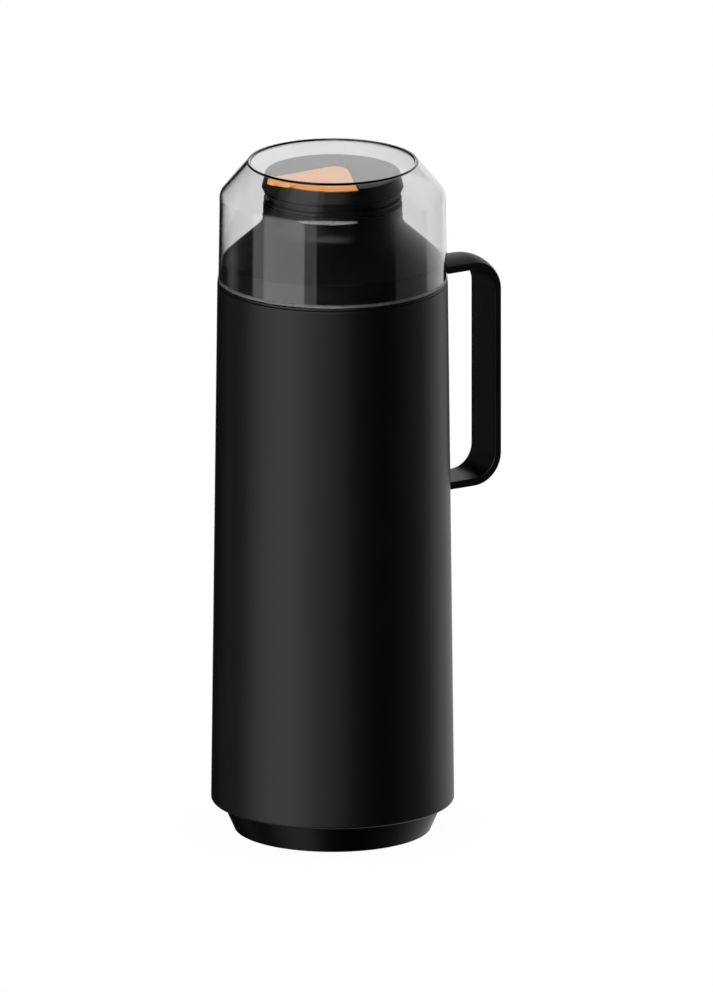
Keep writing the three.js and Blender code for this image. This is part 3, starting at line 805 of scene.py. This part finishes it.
def pour_lever():
    top = lever_high.z
    edge, edge_steps = 0.3, 5
    angles = [math.radians(90 * k / edge_steps) for k in range(edge_steps + 1)]
    levels = [(PLATE_Z, 0.0)]
    levels += [(top - edge + edge * math.sin(a), edge * (1 - math.cos(a))) for a in angles]
    lever = stacked("pour_lever_fine", [
        (z, fan_outline(inset, head_side_radius(z) - 0.03)) for z, inset in levels
    ])
    boolean(lever, under_lip(LIP_R, 0), "DIFFERENCE")
    boolean(lever, trough(top), "DIFFERENCE")
    boolean(lever, pin_rod("barrel", 3, 14), "UNION")
    boolean(lever, pin_rod("bore", 1.45, 20), "DIFFERENCE")
    boolean(lever, rod("pusher", 1.5, (0, 0, 328.2), (0, 0, PLATE_Z + 0.4)), "UNION")
    turn_to_fan(lever)
    stand_in(lever, "pour_lever", ORANGE, "pour_lever")


def stopper_plug():
    core = radius_at("stopper_plug", plug_high.z)
    inner = core - WALL
    port = 7.5
    low, high = plug_low.z, plug_high.z
    floor = low + 2.4
    guide_r, guide_bore = 6.4, 2.45
    guide_low, guide_high = 315, 317.6
    profile = laddered(rounded([
        (core, high, 0.4),
        (inner, high, 0.4),
        (inner, floor, 0.8),
        (port, floor, 0.4),
        (port, low, 0.4),
        (core, low, 1.0),
    ]), core)
    relief = threaded(core, 1.4, low + 1, high - 0.5, start_z=STOPPER_THREAD_Z - 2.6, **STOPPER_THREAD)
    plug = turned("stopper_plug_fine", profile, relief=relief)
    fix_normals(plug)
    guide = turned("guide", rounded([
        (guide_bore, guide_low, 0.2),
        (guide_r, guide_low, 0.3),
        (guide_r, guide_high, 0.3),
        (guide_bore, guide_high, 0.2),
    ]), SMALL_ROUND)
    boolean(plug, guide, "UNION")
    for degrees in (0, 120, 240):
        outline = rectangle(5.6, inner + 0.5, 1)
        arm = stacked("arm", [(guide_low, outline), (guide_high - 0.2, outline)])
        arm.data.transform(Matrix.Rotation(math.radians(degrees) + FAN_ANGLE, 4, "Z"))
        boolean(plug, arm, "UNION")
    stand_in(plug, "stopper", STOPPER_BLACK, "stopper_plug")


def stopper_gasket():
    low, high = corners("stopper_gasket")
    inner = radius_at("stopper_gasket", low.z, largest=False)
    fillet = 0.3
    ring = turned("stopper_gasket_fine", rounded([
        (inner, low.z, fillet),
        (high.y, low.z, fillet),
        (high.y, high.z, fillet),
        (inner, high.z, fillet),
    ]))
    stand_in(ring, "stopper_seal", SILICONE, "stopper_gasket")


# ------------------------------------------------------------------ valve


def valve_stem():
    low, high = corners("valve_stem")
    stem_r = 2
    seat_r, seat_low, seat_high = 7.2, 291.2, 292.3
    stem = turned("valve_stem_fine", rounded([
        (0, low.z),
        (high.y, low.z, 0.5),
        (high.y, seat_low, 0.3),
        (seat_r, seat_low, 0.1),
        (seat_r, seat_high, 0.3),
        (stem_r, 293.4, 1),
        (stem_r, high.z, 0.5),
        (0, high.z),
    ]), SMALL_ROUND)
    stand_in(stem, "valve", WHITE_VALVE, "valve_stem")


def valve_seal():
    low, high = corners("valve_seal")
    inner, top_r = 7.5, 9.4
    seal = turned("valve_seal_fine", rounded([
        (inner, low.z, 0.2),
        (high.y, low.z, 0.2),
        (high.y, 292.2, 0.25),
        (top_r, high.z, 0.25),
        (inner, high.z, 0.2),
    ]), SMALL_ROUND)
    stand_in(seal, "valve", SILICONE, "valve_seal")


def spring_cap():
    low, high = corners("spring_cap")
    socket_r, socket_depth = 2.4, 2
    cap = turned("spring_cap_fine", rounded([
        (0, low.z + socket_depth),
        (socket_r, low.z + socket_depth, 0.2),
        (socket_r, low.z, 0.2),
        (high.y, low.z, 0.3),
        (high.y, 326.2, 0.4),
        (3.4, high.z, 0.5),
        (0, high.z),
    ]), SMALL_ROUND)
    stand_in(cap, "valve", WHITE_VALVE, "spring_cap")


def valve_spring():
    """A compression spring: a round wire swept along a helix."""
    low, high = corners("valve_spring")
    wire, radius, turns = 0.5, 4.6, 4
    around, per_turn = 12, 40
    steps = turns * per_turn
    rings = []
    for i in range(steps + 1):
        t = i / steps
        a = 2 * math.pi * turns * t
        z = low.z + wire + (high.z - low.z - 2 * wire) * t
        ring = []
        for k in range(around):
            b = 2 * math.pi * k / around
            r = radius + wire * math.cos(b)
            ring.append((r * math.cos(a), r * math.sin(a), z + wire * math.sin(b)))
        rings.append(ring)
    spring = lofted("valve_spring_fine", rings, weighted=False)
    fix_normals(spring)
    stand_in(spring, "valve", STEEL, "valve_spring")
    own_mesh(spring)


# ------------------------------------------------------------------ liner


LINER_WALL = 1.4
LINER_BULB_Z = 46  # centre of the round bottom
LINER_SHOULDER_Z = 262  # where the shoulder starts to turn in
LINER_NECK_Z = 292
LINER_ROUND = 128


def liner_bulb(radius, depth, start, end):
    """The round bottom, angles in degrees from the side."""
    return arc(0, LINER_BULB_Z, radius, depth, start, end, 20)


def liner_shoulder(neck_r, side_r, fillet, height, inset=0):
    """The turn from the side to the neck; inset moves it inwards for the glass's inner face."""
    return arc(neck_r - fillet - inset, LINER_SHOULDER_Z, side_r - neck_r + fillet, height, 0, 80, 12)


def liner_outer():
    low, rim = outer_low.z, outer_high.z
    side_r, neck_r, depth = outer_high.y, 35.6, 26
    inner_neck = neck_r - LINER_WALL
    shoulder = dict(neck_r=neck_r, side_r=side_r, fillet=1.6, height=28)
    pip = [(0, low), (1.4, low + 0.3), (2.2, low + 1.1), (3, 19)]
    neck = [(neck_r, LINER_NECK_Z), (neck_r, rim), (inner_neck, rim), (inner_neck, LINER_NECK_Z)]
    outside = pip + liner_bulb(side_r, depth, -80, 0) + liner_shoulder(**shoulder)
    inside = liner_shoulder(**shoulder, inset=LINER_WALL)[::-1]
    inside += liner_bulb(side_r - LINER_WALL, depth - LINER_WALL, 0, -86)
    inside.append((0, LINER_BULB_Z - depth + LINER_WALL))
    glass = turned("liner_outer_fine", outside + neck + inside, LINER_ROUND)
    stand_in(glass, "flask", SILVERED, "liner_outer_glass")


def liner_inner():
    rim = inner_high.z
    side_r, neck_r, depth = 40.6, 32.9, 21.6
    lip_r, lip_low = 35.6, rim - 1.6
    bore = neck_r - LINER_WALL
    shoulder = dict(neck_r=neck_r, side_r=side_r, fillet=1.2, height=27)
    neck = rounded([
        (neck_r, LINER_NECK_Z),
        (neck_r, lip_low, 0.4),
        (lip_r, lip_low, 0.3),
        (lip_r, rim, 0.7),
        (bore, rim, 0.6),
        (bore, LINER_NECK_Z),
    ])
    outside = [(0, LINER_BULB_Z - depth)] + liner_bulb(side_r, depth, -86, 0) + liner_shoulder(**shoulder)
    inside = liner_shoulder(**shoulder, inset=LINER_WALL)[::-1]
    inside += liner_bulb(side_r - LINER_WALL, depth - LINER_WALL, 0, -86)
    inside.append((0, LINER_BULB_Z - depth + LINER_WALL))
    glass = turned("liner_inner_fine", outside + neck + inside, LINER_ROUND)
    stand_in(glass, "flask", SILVERED, "liner_inner_glass")


# ------------------------------------------------------------------ carried-over CAD pieces


def finish_cad_nodes():
    """The small hidden pieces keep their CAD shape: they get a finish and soft edges."""
    finishes = {
        "base_cushion": RUBBER,
        "neck_gasket": SILICONE,
        "liner_spacer_1": SILICONE,
        "liner_spacer_2": SILICONE,
        "liner_spacer_3": SILICONE,
        "handle_screw_1": STEEL,
        "handle_screw_2": STEEL,
        "lever_pin": STEEL,
    }
    for node, material in finishes.items():
        thing = frame["nodes"][node]
        thing.data.materials.clear()
        thing.data.materials.append(material)
        bevel = thing.modifiers.new("soft_edges", "BEVEL")
        bevel.width = 0.15 * MM
        bevel.limit_method = "ANGLE"
        bevel.angle_limit = math.radians(40)
        bevel.segments = 2


# ------------------------------------------------------------------ studio

CAMERA_AZIMUTH = math.radians(-31.6)
CAMERA_ELEVATION = math.radians(15.4)
TO_CAMERA = Vector((math.sin(CAMERA_AZIMUTH), -math.cos(CAMERA_AZIMUTH), 0))
CAMERA_RIGHT = Vector((math.cos(CAMERA_AZIMUTH), math.sin(CAMERA_AZIMUTH), 0))

# Brightness round the flask as upright walls mirror it: degrees from the camera, positive to its right.
STUDIO_RING = (
    (-180, 1.05), (-173, 1.05), (-169, 0.01), (-138, 0.01), (-122, 0.25), (-108, 0.03), (-89.5, 0.03),
    (-88, 0.9), (-75, 0.9), (-74, 1.8), (-29.5, 1.8), (-28.5, 0.52), (-16.5, 0.52), (-15.5, 0.01),
    (67, 0.01), (68.5, 0.16), (111, 0.23), (113, 0.85), (148, 1.0), (160, 1.05), (180, 1.05),
)
# Soft lamps that only satin surfaces pick up: left and right edge in degrees, then the level at each edge.
GLOW_LAMPS = (
    (-100, 10, 1.0, 4.0),  # a long one that brightens from the left rear to the front
    (100, 150, 0.6, 0.6),  # a weak one at the right rear
)
GLOW_FADE = 5  # degrees that a lamp's edge fades over, either side of the edge
GLOW_FOOT = (-10, -2)  # elevations between which the lamps come up
GLOW_HEAD = (30, 22)  # elevations between which they go out
OVERHEAD = (26, 44)  # elevations between which the panels dim towards the ceiling
OVERHEAD_LEVEL = 0.2
SOFTBOX = dict(azimuth=-5, elevation=31, half_width=32, half_height=19, level=3.2)  # angles in degrees
SOFTBOX_FADE = 0.06  # share of its radius that the softbox's edge fades over, either side of the edge
FILL = 1.5  # even light on diffuse surfaces
BACK_FILL = 12.0  # low light from behind on diffuse surfaces
PANEL_WHITE = 0.8  # what a level of 1 shines with


def ring_light(tree, azimuth, levels):
    """Brightness of the panels round the flask in a direction, from a table of (degrees, level)."""
    ring = add(tree, "ShaderNodeValToRGB", {"Fac": ramp(tree, azimuth, -180, 180)})
    stops = ring.color_ramp.elements
    stops[0].color = (levels[0][1],) * 3 + (1,)
    stops[1].color = (levels[-1][1],) * 3 + (1,)
    for degrees, level in levels[1:-1]:
        stops.new((degrees + 180) / 360).color = (level, level, level, 1)
    return ring.outputs["Color"]


def glow_light(tree, azimuth, elevation):
    """The soft lamps, which reach from a little below eye level to well above it."""
    total = 0.0
    for left, right, left_level, right_level in GLOW_LAMPS:
        lamp = ramp(tree, azimuth, left, right, left_level, right_level)
        for edge, inward in ((left, 1), (right, -1)):
            fade = ramp(tree, azimuth, edge - inward * GLOW_FADE, edge + inward * GLOW_FADE)
            lamp = calculate(tree, "MULTIPLY", lamp, fade)
        total = calculate(tree, "ADD", total, lamp)
    band = calculate(tree, "MULTIPLY", ramp(tree, elevation, *GLOW_FOOT), ramp(tree, elevation, *GLOW_HEAD))
    return calculate(tree, "MULTIPLY", total, band)


def softbox_light(tree, azimuth, elevation):
    """An oval softbox with a narrow soft edge."""
    squares = []
    for angle, centre, half in (
        (azimuth, SOFTBOX["azimuth"], SOFTBOX["half_width"]),
        (elevation, SOFTBOX["elevation"], SOFTBOX["half_height"]),
    ):
        share = calculate(tree, "DIVIDE", calculate(tree, "SUBTRACT", angle, centre), half)
        squares.append(calculate(tree, "MULTIPLY", share, share))
    radius = calculate(tree, "SQRT", calculate(tree, "ADD", *squares))
    return ramp(tree, radius, 1 + SOFTBOX_FADE, 1 - SOFTBOX_FADE, 0.0, SOFTBOX["level"])


def fill_light(tree, towards):
    """What diffuse surfaces see: an even fill, and a narrow glow from behind the flask."""
    behind = calculate(tree, "MAXIMUM", calculate(tree, "MULTIPLY", towards, -1.0), 0.0)
    return calculate(tree, "MULTIPLY_ADD", calculate(tree, "POWER", behind, 4.0), BACK_FILL, FILL)


def view_directions(tree):
    """A direction's azimuth and elevation in the studio, and how far it points to the camera's side."""
    direction = add(tree, "ShaderNodeTexCoord").outputs["Generated"]
    seen_from = add(tree, "ShaderNodeVectorTransform", {"Vector": direction}, vector_type="VECTOR",
                    convert_from="WORLD", convert_to="CAMERA").outputs["Vector"]
    tilt_sin, tilt_cos = math.sin(CAMERA_ELEVATION), math.cos(CAMERA_ELEVATION)
    across, towards, height = (
        add(tree, "ShaderNodeVectorMath", {0: seen_from, 1: axis}, operation="DOT_PRODUCT").outputs["Value"]
        for axis in ((1, 0, 0), (0, -tilt_sin, -tilt_cos), (0, tilt_cos, -tilt_sin))
    )
    azimuth = calculate(tree, "DEGREES", calculate(tree, "ARCTAN2", across, towards))
    elevation = calculate(tree, "DEGREES", calculate(tree, "ARCSINE", height))
    return azimuth, elevation, towards


def studio_world():
    """A pale studio: white to the eye, while reflections see panels at the left and behind and a softbox.

    The studio turns with the camera, as when the flask stands on a turntable, so every side is lit alike.
    """
    world = bpy.data.worlds.new("studio")
    world.use_nodes = True
    bpy.context.scene.world = world
    tree = world.node_tree
    tree.nodes.clear()
    azimuth, elevation, towards = view_directions(tree)
    overhead = ramp(tree, elevation, *OVERHEAD, 1.0, OVERHEAD_LEVEL)
    panels = calculate(tree, "MULTIPLY", ring_light(tree, azimuth, STUDIO_RING), overhead)
    seen = calculate(tree, "ADD", panels, softbox_light(tree, azimuth, elevation))
    path = add(tree, "ShaderNodeLightPath")
    glossy, polished = path.outputs["Is Glossy Ray"], path.outputs["Is Singular Ray"]
    satin = calculate(tree, "MAXIMUM", calculate(tree, "SUBTRACT", glossy, polished), 0.0)
    seen = calculate(tree, "MULTIPLY_ADD", satin, glow_light(tree, azimuth, elevation), seen)
    diffuse = calculate(tree, "GREATER_THAN", path.outputs["Diffuse Depth"], 0.5)
    seen = calculate(tree, "MULTIPLY_ADD", diffuse, fill_light(tree, towards), seen)
    level = add(tree, "ShaderNodeMix", {
        "Factor": path.outputs["Is Camera Ray"],
        "A": seen,
        "B": 1 / PANEL_WHITE,
    }).outputs["Result"]
    colour = (PANEL_WHITE, PANEL_WHITE, PANEL_WHITE, 1)
    background = add(tree, "ShaderNodeBackground", {"Color": colour, "Strength": level})
    add(tree, "ShaderNodeOutputWorld", {"Surface": background.outputs[0]})


def pale_floor():
    """A plain white sweep that glows evenly, with a painted contact shadow only where the foot meets it."""
    # the second size is the darkest level of the painted contact shadow
    size, painted_shadow_level = 6000, 0.97
    sheet = [(x, y, 0) for x, y in ((-size, -size), (size, -size), (size, size), (-size, size))]
    floor = make_object("floor", sheet, [[0, 1, 2, 3]], weighted=False)
    floor.location.z = -0.02 * MM
    material, tree, bsdf = new_material("floor")
    tree.nodes.remove(bsdf)
    # painted contact shadow: ambient occlusion dims the floor's glow where the foot stands close
    painted_shadow_ao = add(tree, "ShaderNodeAmbientOcclusion", {"Distance": 0.05}, samples=8)
    level = ramp(tree, painted_shadow_ao.outputs["AO"], 0, 1, painted_shadow_level)
    glow = add(tree, "ShaderNodeEmission", {"Strength": level})
    feed(tree, tree.nodes["Material Output"], {"Surface": glow.outputs[0]})
    floor.data.materials.append(material)
    for kind in ("glossy", "diffuse", "transmission", "shadow"):
        setattr(floor, "visible_" + kind, False)


# The picture, in heights of the flask: its own height, and its centre above the floor and to the right.
PICTURE_HEIGHT = 1.437
CENTRE_UP = 0.4962
CENTRE_RIGHT = 0.0346


def camera():
    """A parallel view from a little above, as a very long lens shows the flask."""
    data = bpy.data.cameras.new("camera")
    data.type = "ORTHO"
    data.ortho_scale = PICTURE_HEIGHT * HEIGHT * MM
    distance = 4 * HEIGHT
    away = TO_CAMERA * math.cos(CAMERA_ELEVATION) + Vector((0, 0, math.sin(CAMERA_ELEVATION)))
    target = Vector((0, 0, CENTRE_UP * HEIGHT)) + CAMERA_RIGHT * CENTRE_RIGHT * HEIGHT
    eye = bpy.data.objects.new("camera", data)
    eye.location = (target + away * distance) * MM
    eye.rotation_mode = "QUATERNION"
    eye.rotation_quaternion = (-away).to_track_quat("-Z", "Y")
    data.clip_end = 3 * distance * MM
    bpy.context.scene.collection.objects.link(eye)
    bpy.context.scene.camera = eye
    bpy.context.scene.view_settings.view_transform = "Standard"


outer_shell()
base_cap()
shoulder_collar()
handle()
clear_cup()
stopper_head()
pour_lever()
stopper_plug()
stopper_gasket()
valve_stem()
valve_seal()
spring_cap()
valve_spring()
liner_outer()
liner_inner()
finish_cad_nodes()
studio_world()
pale_floor()
camera()
